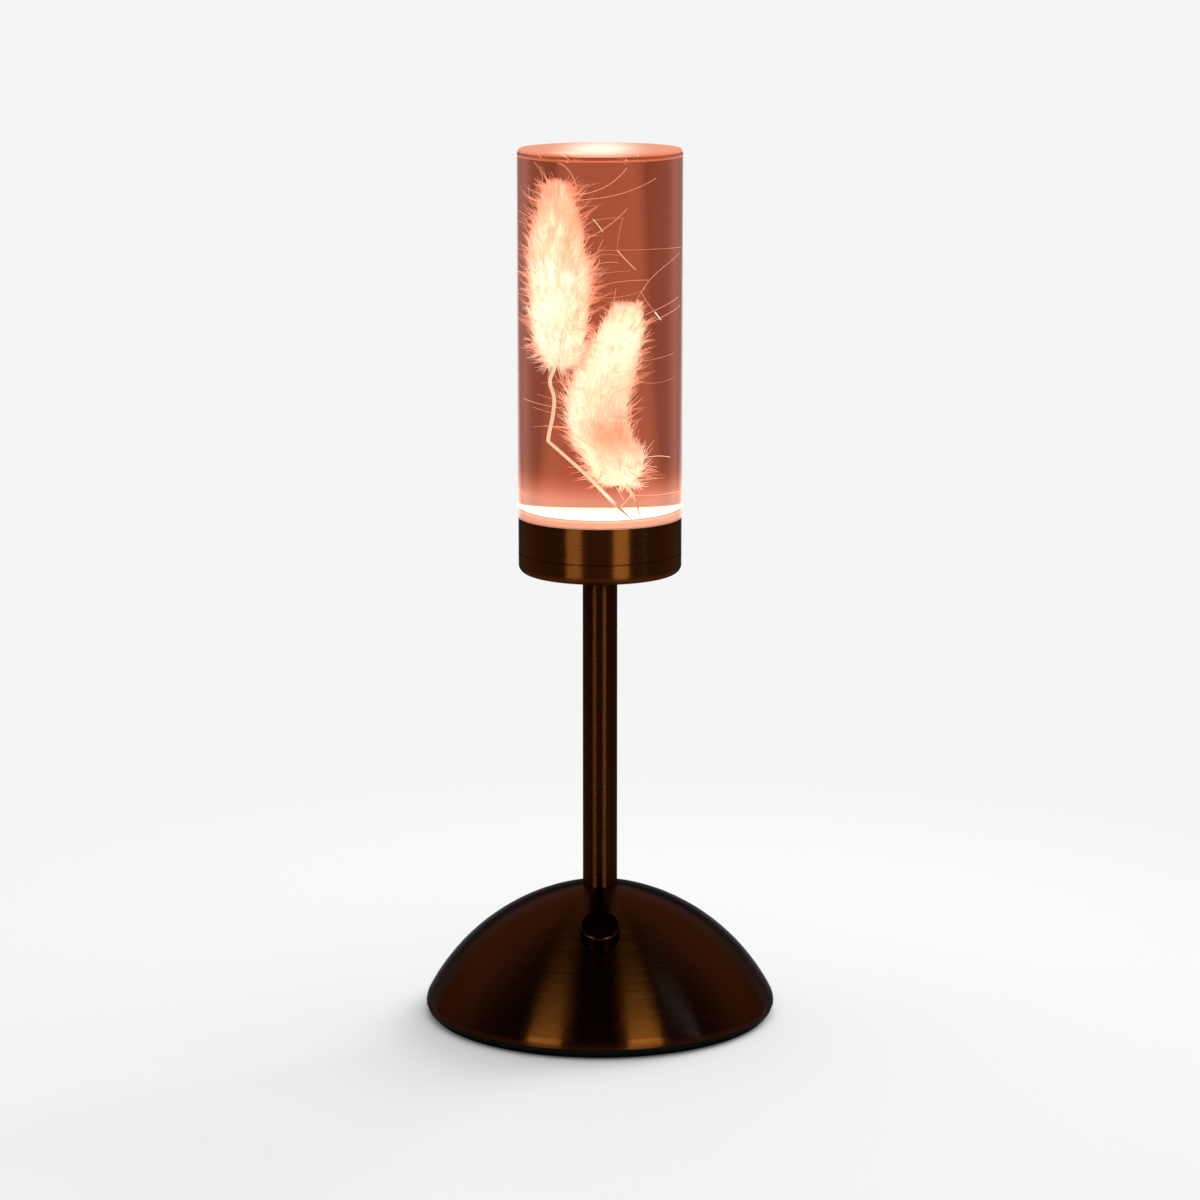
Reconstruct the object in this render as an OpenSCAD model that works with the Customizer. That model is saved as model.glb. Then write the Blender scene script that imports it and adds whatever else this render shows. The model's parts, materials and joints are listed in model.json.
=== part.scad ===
// Cordless table lamp. A clear resin column with two dried grass heads cast into it stands on a lit
// collar, a straight stem and a weighted dome with a push-and-turn dimmer knob.
// Millimetres, +Z up, origin at the centre of the foot pad's underside, knob to -Y, charge port to +Y.

/* [Base] */
// Diameter of the dome at its rim
dome_d = 108; // [98:1:130]
// Height of the dome from its rim to the stem's seat
dome_h = 37; // [34:0.5:44]
// Radius of the dome's crown in section
crown_r = 66; // [62:1:80]
// Radius of the dome's turned-down rim in section
rim_r = 6; // [4:0.5:9]
// Thickness of the dome's spun sheet
dome_wall = 1.2; // [0.8:0.1:1.8]
// Thickness of the foot pad
pad_t = 1.5; // [1:0.1:3]
// How far the foot pad stands back from the ballast's flange
pad_inset = 1.4; // [0.5:0.1:3]
// Thickness of the ballast's flange under the dome's rim
flange_t = 1.5; // [1:0.1:3]
// Height of the ballast above its flange
ballast_h = 6; // [5.5:0.5:8]

/* [Stem] */
// Length of the stem between the dome and the collar
stem_len = 98.4; // [60:0.2:160]
// Wall of the stem's outer tube
stem_wall = 1; // [0.6:0.1:1.5]
// Diameter of the threaded lamp pipe inside the stem
pipe_d = 8; // [7:0.2:10]
// Wall of the lamp pipe
pipe_wall = 1.2; // [0.8:0.1:1.5]
// Width of the pipe nuts across their flats
nut_af = 13; // [11:0.5:17]
// Height of the pipe nuts
nut_h = 4; // [3:0.2:5]
// Diameter of the pipe washers
washer_d = 16; // [14:0.5:20]
// Thickness of the pipe washers
washer_t = 1.2; // [0.8:0.1:1.6]
// Height of the pipe's wire slot above the ballast
slot_rise = 10; // [8:0.5:12]
// Length of the pipe's wire slot
slot_len = 10; // [8:0.5:12]

/* [Collar] */
// Height of the whole collar
collar_h = 17.2; // [15:0.1:24]
// Height of the collar's lower cap below the seam
cap_h = 6.3; // [4.5:0.1:8]
// Rounding of the cap's lower edge
collar_fillet = 2.5; // [0.5:0.1:4]
// Thickness of the cap's floor
cap_floor = 2.2; // [1.5:0.1:3]
// Wall of the collar's ring
collar_wall = 2.4; // [1.8:0.1:3]
// Wall of the cap's threaded spigot
spigot_wall = 1.4; // [1:0.1:2]
// Chamfer that shows the seam of the collar as a fine line
seam_chamfer = 0.2; // [0.1:0.05:0.4]
// How far the collar stands back from the resin
collar_step = 0.15; // [0:0.05:0.6]
// Thickness of the lamp board that carries the light chips
led_board_t = 1.6; // [1:0.1:2]
// Number of light chips
led_count = 8; // [4:1:12]
// Thickness of the ledge that clamps the lamp board
ledge_t = 1.8; // [1:0.1:3]
// Width of the ledge under the diffuser
ledge_w = 2.4; // [1.5:0.1:4]
// Height of the diffuser above the collar's rim
diffuser_rise = 2; // [1:0.1:4]

/* [Resin] */
// Diameter of the resin column
resin_d = 50; // [44:0.5:60]
// Height of the resin column
resin_h = 111.4; // [100:0.2:150]
// Rounding of the resin's edges
resin_edge = 0.5; // [0.2:0.1:2]
// Wall of resin round the diffuser
resin_skirt = 3.6; // [2:0.1:5]
// Length of each grass head
head_len = 55; // [40:1:60]
// Greatest diameter of each grass head
head_d = 12.4; // [9:0.2:13]
// Diameter of each stalk
stalk_d = 1.3; // [0.8:0.1:1.6]
// Resin above the tip of the upper head
tip_cover = 7.8; // [4:0.2:12]
// Resin below the foot of the lower head
foot_cover = 11.5; // [9:0.5:16]
// Sideways bow of the lower head
head_bow = 5.4; // [0:0.2:8]

/* [Dimmer] */
// Tilt of the knob's axis from the vertical
knob_tilt = 32; // [25:1:36]
// Height of the knob
knob_h = 5.6; // [5:0.1:9]
// Wall of the knob's skirt round the nut
knob_skirt = 0.8; // [0.6:0.1:2]
// Thickness of the knob's face
knob_face_t = 1; // [0.6:0.1:1.6]
// Rounding of the knob's outer edge
knob_edge = 0.6; // [0.2:0.1:1]
// Travel of the knob when it is pressed
push_travel = 0.5; // [0.3:0.1:1]
// Diameter of the dimmer's shaft
shaft_d = 6; // [5:0.2:7]
// Diameter of the shaft's keyed neck
neck_d = 4; // [3:0.2:4.6]
// Wall of the threaded bushing
bush_wall = 0.5; // [0.4:0.1:1]
// Wall of the round bushing nut
dress_nut_wall = 1.2; // [0.8:0.1:2]
// Thickness of the round bushing nut
dress_nut_t = 1.3; // [1:0.1:2]
// Width of the spacer washer round the bushing
spacer_wall = 2; // [1.5:0.1:3]
// Diameter of the dimmer's rotor
rotor_d = 9.4; // [8:0.2:11]
// Height of the dimmer's rotor
rotor_h = 3.5; // [2.5:0.1:5]
// Wall and floor of the dimmer's case
case_wall = 1.2; // [1.1:0.1:2]
// Thickness of the plate that the bushing stands on
bush_plate_t = 1.5; // [1:0.1:2]
// Thickness of the snap dome under the shaft
snap_t = 0.3; // [0.2:0.05:0.4]
// Width of the dimmer's board
dimmer_board_w = 20; // [18:0.5:26]
// Length of the dimmer's board
dimmer_board_l = 16; // [14:0.5:18]
// Thickness of the dimmer's board
dimmer_board_t = 1.2; // [0.8:0.1:1.6]

/* [Charging] */
// Width of the battery cell
battery_w = 24; // [18:0.5:28]
// Length of the battery cell
battery_l = 36; // [28:0.5:40]
// Thickness of the battery cell
battery_t = 7; // [5:0.2:8]
// Thickness of the foam tape under the battery
tape_t = 0.8; // [0.5:0.1:1.5]
// Width of the charge board
charge_board_w = 17; // [15:0.5:20]
// Length of the charge board
charge_board_l = 26; // [22:0.5:28]
// Thickness of the charge board
charge_board_t = 1.6; // [1:0.1:2]
// Height of the bosses that carry the charge board
boss_h = 3; // [2.5:0.1:4]
// Diameter of those bosses
boss_d = 5.2; // [4.6:0.1:7]
// Diameter of the board screws
screw_d = 2.5; // [2:0.1:3]
// Width of the charge socket
socket_w = 8.94; // [8.6:0.02:9.2]
// Height of the charge socket
socket_h = 3.26; // [3:0.02:3.4]
// Depth of the charge socket
socket_l = 7.35; // [6:0.05:9]
// Sheet of the charge socket's shell
socket_wall = 0.3; // [0.2:0.05:0.4]
// Width of the pocket that takes a plug's grip
pocket_w = 12.8; // [12:0.1:14]
// Height of the pocket
pocket_h = 7.2; // [6.6:0.1:8]
// Wall of the pocket's bezel
bezel_wall = 1.2; // [0.8:0.1:2]
// How far the bezel stands proud of the dome
bezel_proud = 0.4; // [0.1:0.1:1]

/* [Wires] */
// Diameter of the insulated wires
wire_d = 1.2; // [0.8:0.1:1.3]
// Distance between the two wires of a pair
wire_pitch = 1.6; // [1.5:0.1:2]
// Wall of the plastic bush that guards the wires at the top of the pipe
wire_bush_wall = 0.5; // [0.3:0.1:0.7]
// How far solder joints lie in from the sides of the boards
solder_side = 3; // [2.5:0.5:4]
// How far solder joints lie in from the ends of the dimmer's board
solder_end = 5; // [4:0.5:6]
// Bow of the wires where they leave the pipe or a board
wire_bow = 3.5; // [3:0.5:4.5]
// How far the lamp board's wires swing out beside the pipe
lead_swing = 10; // [8:0.5:11]
// How far those wires reach forward before they turn to the dimmer
lead_forward = 9; // [7:0.5:10]
// How far the charge board's wires swing out beside the pipe
supply_swing = 6; // [5:0.5:7]
// How far those wires reach forward before they turn to the dimmer
supply_forward = 13; // [11:0.5:14]
// How far the battery's nearer tab lies in from the cell's side
tab_inset = 5; // [4:0.5:7]
// Distance between the battery's tabs
tab_pitch = 4; // [3:0.5:6]

/* [Clearances] */
// Radial gap of a turning or sliding fit
run_gap = 0.05; // [0.03:0.01:0.1]
// Gap between pieces that are screwed, pressed or glued together
seat_gap = 0.1; // [0.05:0.01:0.2]
// Gap between the stem's tube and the pipe in it
pipe_gap = 0.3; // [0.1:0.05:0.6]
// Free room round pieces that must not touch
free_gap = 0.4; // [0.2:0.05:0.8]

/* [Hidden] */
$fn = 96;
// Overshoot of cutting tools
cut = 1;

// Levels, from the table up
z_rim = pad_t + flange_t;
z_ballast = z_rim + ballast_h;
z_seat = z_rim + dome_h;
z_collar = z_seat + stem_len;
z_floor = z_collar + cap_floor;
z_seam = z_collar + cap_h;
z_resin = z_collar + collar_h;

// Stem
pipe_r = pipe_d / 2;
pipe_bore_r = pipe_r - pipe_wall;
stem_r = pipe_r + pipe_gap + stem_wall;
pipe_hole_r = pipe_r + seat_gap;
washer_r = washer_d / 2;
well_r = washer_r + free_gap;
z_well = z_ballast - cap_floor;
z_lower_nut = z_well - washer_t - nut_h;
z_upper_nut = z_floor + washer_t;
// Threads standing past a nut
thread_end = 0.8;
z_pipe_top = z_upper_nut + nut_h + thread_end;
z_pipe_low = pad_t + free_gap / 2;

// Dome in section: the crown's arc runs tangent into the rim's arc and passes the edge of the stem
function arcs_meet(a, ra, b, rb) =
    let (d = norm(b - a), u = (b - a) / d, k = (ra * ra - rb * rb + d * d) / (2 * d))
    a + k * u + sqrt(ra * ra - k * k) * [-u[1], u[0]];
rim_c = [dome_d / 2 - rim_r, z_rim];
crown_c = arcs_meet(rim_c, crown_r - rim_r, [stem_r, z_seat], crown_r);
join_a = atan2(rim_c[0] - crown_c[0], rim_c[1] - crown_c[1]);
function arc_at(r, z) = crown_c[0] + sqrt(r * r - pow(z - crown_c[1], 2));
function dome_out(z) = arc_at(crown_r, z);
function dome_in(z) = arc_at(crown_r - dome_wall, z);
// The flange reaches under the middle of the dome's sheet
flange_r = (dome_d - dome_wall) / 2;
ballast_r = dome_in(z_ballast) - free_gap;

// Collar
collar_r = resin_d / 2 - collar_step;
ring_bore_r = collar_r - collar_wall;
spigot_r = ring_bore_r - seat_gap;
spigot_bore_r = spigot_r - spigot_wall;
bush_flange_t = 0.8;
bush_len = 4;
z_board = z_pipe_top + bush_flange_t + free_gap * 2;
z_board_top = z_board + led_board_t;
z_ledge = z_board_top + ledge_t;
led_board_r = ring_bore_r - seat_gap;
diffuser_r = resin_d / 2 - resin_skirt;
recess_r = diffuser_r + seat_gap;
ledge_r = diffuser_r - ledge_w;
led_size = [3.5, 2.8, 0.7];
led_ring_r = ledge_r - led_size[0] - free_gap * 4;

// Dimmer, along the knob's axis: zero is on the dome's outer face and plus is outwards
knob_p = crown_c + crown_r * [sin(knob_tilt), cos(knob_tilt)];
hoop_r = knob_p[0] / sin(knob_tilt);
function fall(r, x) = r - sqrt(r * r - x * x);
shaft_r = shaft_d / 2;
bush_r = shaft_r + run_gap + bush_wall;
dress_nut_r = bush_r + seat_gap / 2 + dress_nut_wall;
spot_r = dress_nut_r + free_gap;
spot_depth = fall(hoop_r, spot_r) + run_gap;
bush_top = dress_nut_t + seat_gap - spot_depth;
spacer_r = bush_r + spacer_wall;
case_half = rotor_d / 2 + run_gap + case_wall;
inner_r = hoop_r - dome_wall;
spacer_top = -dome_wall - fall(inner_r, spacer_r) - run_gap;
plate_top = -dome_wall - fall(inner_r, case_half * sqrt(2)) - free_gap;
plate_low = plate_top - bush_plate_t;
rotor_top = plate_low - run_gap;
rotor_low = rotor_top - rotor_h;
case_floor_top = rotor_low - run_gap;
case_low = case_floor_top - case_wall;
dimmer_board_low = case_low - dimmer_board_t;
neck_r = neck_d / 2;
// The neck's flat lies at this share of its radius, as on a keyed shaft
key_share = 0.75;
shoulder = rotor_top + push_travel + free_gap / 2;
neck_end = case_low + snap_t + push_travel + run_gap;
snap_r = neck_r + free_gap;
knob_recess_r = dress_nut_r + free_gap;
knob_r = knob_recess_r + knob_skirt;
knob_low = push_travel + free_gap / 2;
knob_top = knob_low + knob_h;
knob_recess_top = bush_top + push_travel + free_gap / 2;
shaft_top = knob_top - knob_face_t;

// Charging, at the rear
z_charge = z_ballast + boss_h;
z_charge_top = z_charge + charge_board_t;
z_port = z_charge_top + socket_h / 2;
// The socket's mouth lies just inside the dome at the top of the pocket
mouth_depth = 1;
y_mouth = dome_out(z_port + pocket_h / 2) - mouth_depth;
y_board_end = y_mouth - bezel_wall - free_gap;
y_board_start = y_board_end - charge_board_l;
boss_y = [y_board_start + boss_d, y_mouth - socket_l - boss_d];
screw_r = screw_d / 2;
screw_head_r = screw_d * 0.9;
screw_head_t = screw_d * 0.6;
screw_grip = boss_h - free_gap * 2;
battery_x = -pipe_r - free_gap * 4 - battery_w / 2;
z_battery = z_ballast + tape_t;
y_battery_end = y_board_start - free_gap * 4;
tape_margin = 2;

// Slot in the side of the pipe, where the wires of the lamp board come out
slot_z = [z_ballast + slot_rise, z_ballast + slot_rise + slot_len];
slot_w = wire_pitch + wire_d + free_gap * 2;

// Small solid geometry helpers

// Filled half section of the dome, drawn in by inset
module dome_fill(inset) {
    reach = dome_d;
    difference() {
        intersection() {
            translate(crown_c) circle(crown_r - inset);
            translate([0, z_rim - inset]) square([dome_d, 2 * dome_h]);
        }
        translate(rim_c) difference() {
            polygon([[0, 0], reach * [sin(join_a), cos(join_a)], [reach, 0]]);
            circle(rim_r - inset);
        }
    }
}

// What a rounding takes off a section's outer corner, up is 1 for an upper corner and -1 for a lower
module corner_cut(corner, r, up) {
    translate([corner[0] - r, corner[1] - up * r]) mirror([0, up < 0 ? 1 : 0]) difference() {
        square(r + cut);
        circle(r);
    }
}

module ring(r_out, r_in, z0, z1) {
    translate([0, 0, z0]) difference() {
        cylinder(r = r_out, h = z1 - z0);
        translate([0, 0, -cut]) cylinder(r = r_in, h = z1 - z0 + 2 * cut);
    }
}

module hex_nut(z0) {
    translate([0, 0, z0]) difference() {
        cylinder(r = nut_af / sqrt(3), h = nut_h, $fn = 6);
        translate([0, 0, -cut]) cylinder(r = pipe_hole_r, h = nut_h + 2 * cut);
    }
}

module at_knob() {
    translate([0, -knob_p[0], knob_p[1]]) rotate([knob_tilt, 0, 0]) children();
}

function at_knob_point(p) = [
    p[0],
    p[1] * cos(knob_tilt) - p[2] * sin(knob_tilt) - knob_p[0],
    p[1] * sin(knob_tilt) + p[2] * cos(knob_tilt) + knob_p[1]
];

// Round-ended slot prism along +Y
module slot_prism(w, h, y0, y1) {
    translate([0, y0, z_port]) rotate([-90, 0, 0]) linear_extrude(y1 - y0) {
        square([w - h, h], center = true);
        for (side = [-1, 1]) translate([side * (w - h) / 2, 0]) circle(h / 2);
    }
}

// Smooth curve through points, and round tubes swept along it
function unit(v) = v / norm(v);
function leg(p, i) = i < 0 || i > len(p) - 2 ? [0, 0, 0] : unit(p[i + 1] - p[i]);
function heading(p, i) = unit(leg(p, i - 1) + leg(p, i));
function curve_point(a, b, out, in, t) =
    (1 + 2 * t) * pow(1 - t, 2) * a + t * pow(1 - t, 2) * out
    + (3 - 2 * t) * t * t * b + (t - 1) * t * t * in;
function curve(p, steps) = concat(
    [for (i = [0 : len(p) - 2], s = [0 : steps - 1])
        let (reach = norm(p[i + 1] - p[i]))
        curve_point(p[i], p[i + 1], reach * heading(p, i), reach * heading(p, i + 1), s / steps)],
    [p[len(p) - 1]]);
function tangent(p, i) = unit(p[min(i + 1, len(p) - 1)] - p[max(i - 1, 0)]);
function carried(p, side, i, done) =
    i == len(p) ? done
    : let (t = tangent(p, i), n = unit(side - (side * t) * t)) carried(p, n, i + 1, concat(done, [n]));
function first_side(t) = abs(t[0]) < 0.9 ? [1, 0, 0] : [0, 1, 0];

module tube(path, radii, sides) {
    n = len(path);
    normals = carried(path, first_side(tangent(path, 0)), 0, []);
    points = [for (i = [0 : n - 1])
        let (t = tangent(path, i), u = normals[i], v = cross(t, u))
        for (k = [0 : sides - 1])
            path[i] + radii[i] * (cos(360 * k / sides) * u + sin(360 * k / sides) * v)];
    walls = [for (i = [0 : n - 2], k = [0 : sides - 1], half = [0, 1])
        let (a = i * sides + k, b = i * sides + (k + 1) % sides)
        half == 0 ? [a, a + sides, b] : [b, a + sides, b + sides]];
    low_cap = [for (k = [1 : sides - 2]) [0, k, k + 1]];
    high_cap = [for (k = [1 : sides - 2]) (n - 1) * sides * [1, 1, 1] + [0, k + 1, k]];
    polyhedron(points, concat(walls, low_cap, high_cap));
}

module wire(points) {
    path = curve(points, 4);
    tube(path, [for (p = path) wire_d / 2], 8);
}

// Base

module foot_pad() {
    color("#1b1a1a") cylinder(r = flange_r - pad_inset, h = pad_t);
}

module ballast_plate() {
    color("#242220") difference() {
        union() {
            translate([0, 0, pad_t]) cylinder(r = flange_r, h = flange_t);
            translate([0, 0, z_rim]) cylinder(r = ballast_r, h = ballast_h);
            for (y = boss_y) translate([0, y, z_ballast]) cylinder(d = boss_d, h = boss_h);
        }
        translate([0, 0, pad_t - cut]) cylinder(r = well_r, h = z_well - pad_t + cut);
        cylinder(r = pipe_hole_r, h = z_ballast + cut);
        for (y = boss_y) translate([0, y, z_charge - screw_grip - free_gap])
            cylinder(r = screw_r + run_gap, h = screw_grip + free_gap + cut);
    }
}

module base_dome() {
    color("#5f3a1e") difference() {
        rotate_extrude() difference() {
            dome_fill(0);
            dome_fill(dome_wall);
            translate([0, z_seat]) square([2 * stem_r, dome_h]);
            square([pipe_hole_r, 2 * z_seat]);
        }
        at_knob() {
            translate([0, 0, -dome_h / 2]) cylinder(r = bush_r + seat_gap, h = dome_h);
            translate([0, 0, -spot_depth]) cylinder(r = spot_r, h = dome_h);
        }
        slot_prism(pocket_w + 2 * (bezel_wall + seat_gap), pocket_h + 2 * (bezel_wall + seat_gap),
            y_board_start, dome_d);
    }
}

// Stem

module stem_tube() {
    color("#5f3a1e") ring(stem_r, stem_r - stem_wall, z_seat, z_collar);
}

module lamp_pipe() {
    color("#b9b4a8") difference() {
        ring(pipe_r, pipe_bore_r, z_pipe_low, z_pipe_top);
        translate([0, -slot_w / 2, slot_z[0]]) cube([pipe_d, slot_w, slot_z[1] - slot_z[0]]);
    }
}

module lower_washer() {
    color("#a8a49a") ring(washer_r, pipe_hole_r, z_well - washer_t, z_well);
}

module lower_nut() {
    color("#b5a36a") hex_nut(z_lower_nut);
}

module upper_washer() {
    color("#a8a49a") ring(washer_r, pipe_hole_r, z_floor, z_upper_nut);
}

module upper_nut() {
    color("#b5a36a") hex_nut(z_upper_nut);
}

module wire_bush() {
    color("#e8e4da") {
        ring(pipe_r, pipe_bore_r - run_gap - wire_bush_wall, z_pipe_top, z_pipe_top + bush_flange_t);
        ring(pipe_bore_r - run_gap, pipe_bore_r - run_gap - wire_bush_wall,
            z_pipe_top - bush_len, z_pipe_top);
    }
}

// Collar and light

module collar_cap() {
    color("#6a4122") rotate_extrude() difference() {
        polygon([
            [pipe_hole_r, z_collar], [collar_r, z_collar],
            [collar_r, z_seam - seam_chamfer], [collar_r - seam_chamfer, z_seam],
            [spigot_r, z_seam], [spigot_r, z_board],
            [spigot_bore_r, z_board], [spigot_bore_r, z_floor], [pipe_hole_r, z_floor]
        ]);
        corner_cut([collar_r, z_collar], collar_fillet, -1);
    }
}

module collar_ring() {
    color("#6a4122") rotate_extrude() polygon([
        [ring_bore_r, z_seam], [collar_r - seam_chamfer, z_seam],
        [collar_r, z_seam + seam_chamfer], [collar_r, z_resin],
        [recess_r, z_resin], [recess_r, z_ledge],
        [ledge_r, z_ledge], [ledge_r, z_board_top], [ring_bore_r, z_board_top]
    ]);
}

module led_board() {
    color("#f0efe9") difference() {
        translate([0, 0, z_board]) cylinder(r = led_board_r, h = led_board_t);
        for (side = [-1, 1]) translate([0, side * wire_pitch / 2, z_board - cut])
            cylinder(r = wire_d / 2 + run_gap, h = led_board_t + 2 * cut);
    }
}

module led_chips() {
    color("#f3d774") for (i = [0 : led_count - 1]) rotate(360 * i / led_count)
        translate([led_ring_r - led_size[0] / 2, -led_size[1] / 2, z_board_top]) cube(led_size);
}

module diffuser() {
    color("#fff3df") rotate_extrude() difference() {
        translate([0, z_ledge]) square([diffuser_r, z_resin + diffuser_rise - z_ledge]);
        corner_cut([diffuser_r, z_resin + diffuser_rise], resin_edge, 1);
    }
}

// Resin column with the grass heads cast in

// Fullness of a grass head from foot to tip: blunt at the foot, fullest below the middle
function head_fullness(t) = pow(sin(180 * pow(t, 0.7)), 0.65);
head_steps = 15;
// The first and last ring of a head stand this share of its length inside the ends
head_end = 0.02;
function head_share(i) = head_end + (1 - 2 * head_end) * i / head_steps;
function head_spine(foot, tip, bow) = [for (i = [0 : head_steps])
    let (t = head_share(i)) foot + (tip - foot) * t + bow * sin(180 * pow(t, 0.78))];
function head_radii() = [for (i = [0 : head_steps]) head_d / 2 * head_fullness(head_share(i))];

// Places from the resin's axis and underside. The stalks' points are chosen by eye.
stalk_foot_z = diffuser_rise + 3 * seat_gap + stalk_d;
upper_tip = [-9.4, -4, resin_h - tip_cover];
upper_foot = [-9.4, -4, resin_h - tip_cover - head_len];
lower_foot = [4.4, 4, foot_cover];
lower_tip = [5.2, 4, foot_cover + head_len];
upper_kink = [-11.6, -4, 24.6];
upper_stalk = [
    [7.8, -17, stalk_foot_z], [4.2, -15, 7.6], [-3.8, -10, 15.9], [-10.2, -5.1, 23], upper_kink,
    upper_kink + 0.2 * (upper_foot - upper_kink) + [0.3, 0, 0],
    upper_kink + 0.6 * (upper_foot - upper_kink) + [-0.7, 0, 0]
];
lower_stalk = [[6.8, 2.6, stalk_foot_z], [5.8, 3.4, (stalk_foot_z + foot_cover) / 2]];

// A stalk and its head are one plant, swept as one tube; grow widens it for the cavity in the resin
module tail(stalk, foot, tip, bow, grow) {
    stem_path = curve(concat(stalk, [foot]), 3);
    stem_run = [for (i = [0 : len(stem_path) - 2]) stem_path[i]];
    path = concat(stem_run, head_spine(foot, tip, bow));
    radii = concat([for (p = stem_run) stalk_d / 2 + grow], [for (r = head_radii()) r + grow]);
    first = path[0] - grow * tangent(path, 0);
    last = path[len(path) - 1] + grow * tangent(path, len(path) - 1);
    ends = concat([first], [for (i = [1 : len(path) - 2]) path[i]], [last]);
    translate([0, 0, z_resin]) tube(ends, radii, 12);
}

module upper_tail_form(grow) {
    tail(upper_stalk, upper_foot, upper_tip, [0, 0, 0], grow);
}

module lower_tail_form(grow) {
    tail(lower_stalk, lower_foot, lower_tip, [-head_bow, 0, 0], grow);
}

module upper_tail() {
    color("#efe3c4") upper_tail_form(0);
}

module lower_tail() {
    color("#efe3c4") lower_tail_form(0);
}

module resin_block() {
    color("#c98a70", 0.5) difference() {
        rotate_extrude() difference() {
            translate([0, z_resin]) square([resin_d / 2, resin_h]);
            translate([0, z_resin - cut]) square([recess_r, diffuser_rise + seat_gap + cut]);
            corner_cut([resin_d / 2, z_resin + resin_h], resin_edge, 1);
        }
        upper_tail_form(seat_gap);
        lower_tail_form(seat_gap);
    }
}

// Dimmer

module knob() {
    color("#6e4526") at_knob() rotate_extrude() difference() {
        translate([0, knob_low]) square([knob_r, knob_h]);
        translate([0, knob_low - cut]) square([knob_recess_r, knob_recess_top - knob_low + cut]);
        square([shaft_r + seat_gap / 5, shaft_top]);
        corner_cut([knob_r, knob_top], knob_edge, 1);
        corner_cut([knob_r, knob_low], knob_edge / 3, -1);
    }
}

module keyed_neck(r, z0, z1) {
    intersection() {
        translate([0, 0, z0]) cylinder(r = r, h = z1 - z0);
        translate([-r - cut, -r - cut, z0 - cut])
            cube([2 * r + cut - (1 - key_share) * neck_r, 2 * (r + cut), z1 - z0 + 2 * cut]);
    }
}

module dimmer_shaft() {
    color("#c9c6be") at_knob() union() {
        translate([0, 0, shoulder]) cylinder(r = shaft_r, h = shaft_top - shoulder);
        keyed_neck(neck_r, neck_end, shoulder + run_gap);
    }
}

module dimmer_rotor() {
    color("#2b2b2d") at_knob() difference() {
        translate([0, 0, rotor_low]) cylinder(d = rotor_d, h = rotor_h);
        keyed_neck(neck_r + run_gap, rotor_low - cut, rotor_top + cut);
    }
}

module dimmer_bushing() {
    color("#bdbab2") at_knob() difference() {
        union() {
            translate([-case_half, -case_half, plate_low]) cube([2 * case_half, 2 * case_half, bush_plate_t]);
            translate([0, 0, plate_top - run_gap]) cylinder(r = bush_r, h = bush_top - plate_top + run_gap);
        }
        translate([0, 0, plate_low - cut])
            cylinder(r = shaft_r + run_gap, h = bush_top - plate_low + 2 * cut);
    }
}

module dimmer_nut() {
    color("#bdbab2") at_knob() difference() {
        ring(dress_nut_r, bush_r + seat_gap / 2, -spot_depth, dress_nut_t - spot_depth);
        // Two slots for a pin spanner
        translate([-dress_nut_r - cut, -dress_nut_wall / 2, dress_nut_t / 2 - spot_depth])
            cube([2 * (dress_nut_r + cut), dress_nut_wall, dress_nut_t]);
    }
}

module dimmer_spacer() {
    color("#d7d2c6") at_knob() ring(spacer_r, bush_r + seat_gap, plate_top, spacer_top);
}

module dimmer_case() {
    color("#27402f") at_knob() difference() {
        translate([-case_half, -case_half, case_low])
            cube([2 * case_half, 2 * case_half, plate_low - case_low]);
        translate([0, 0, case_floor_top])
            cylinder(r = rotor_d / 2 + run_gap, h = plate_low - case_floor_top + cut);
        translate([0, 0, case_low - cut]) cylinder(r = snap_r + seat_gap, h = case_wall + 2 * cut);
    }
}

module snap_dome() {
    color("#d9d6cd") at_knob() translate([0, 0, case_low]) cylinder(r = snap_r, h = snap_t);
}

module dimmer_board() {
    color("#2f6b43") at_knob() translate([-dimmer_board_w / 2, -dimmer_board_l / 2, dimmer_board_low])
        cube([dimmer_board_w, dimmer_board_l, dimmer_board_t]);
}

// Charging

module battery_cell() {
    color("#9fb3c4") translate([battery_x - battery_w / 2, y_battery_end - battery_l, z_battery])
        cube([battery_w, battery_l, battery_t]);
}

module battery_tape() {
    tape_w = battery_w - 2 * tape_margin;
    tape_l = battery_l - 2 * tape_margin;
    color("#e9e6df")
        translate([battery_x - tape_w / 2, y_battery_end - tape_margin - tape_l, z_ballast])
        cube([tape_w, tape_l, tape_t]);
}

module charge_board() {
    color("#2f6b43") difference() {
        translate([-charge_board_w / 2, y_board_start, z_charge])
            cube([charge_board_w, charge_board_l, charge_board_t]);
        for (y = boss_y) translate([0, y, z_charge - cut])
            cylinder(r = screw_r + seat_gap, h = charge_board_t + 2 * cut);
    }
}

module board_screws() {
    color("#c9c6be") for (y = boss_y) translate([0, y, 0]) {
        translate([0, 0, z_charge - screw_grip])
            cylinder(r = screw_r, h = screw_grip + charge_board_t + screw_head_t / 2);
        translate([0, 0, z_charge_top]) cylinder(r = screw_head_r, h = screw_head_t);
    }
}

module charge_socket() {
    tongue_w = socket_w * 0.74;
    tongue_t = 0.7;
    back_t = 1;
    color("#c9c6be") {
        difference() {
            slot_prism(socket_w, socket_h, y_mouth - socket_l, y_mouth);
            slot_prism(socket_w - 2 * socket_wall, socket_h - 2 * socket_wall,
                y_mouth - socket_l + back_t, y_mouth + cut);
        }
        translate([-tongue_w / 2, y_mouth - socket_l + back_t / 2, z_port - tongue_t / 2])
            cube([tongue_w, socket_l - 2 * back_t, tongue_t]);
    }
}

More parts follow.
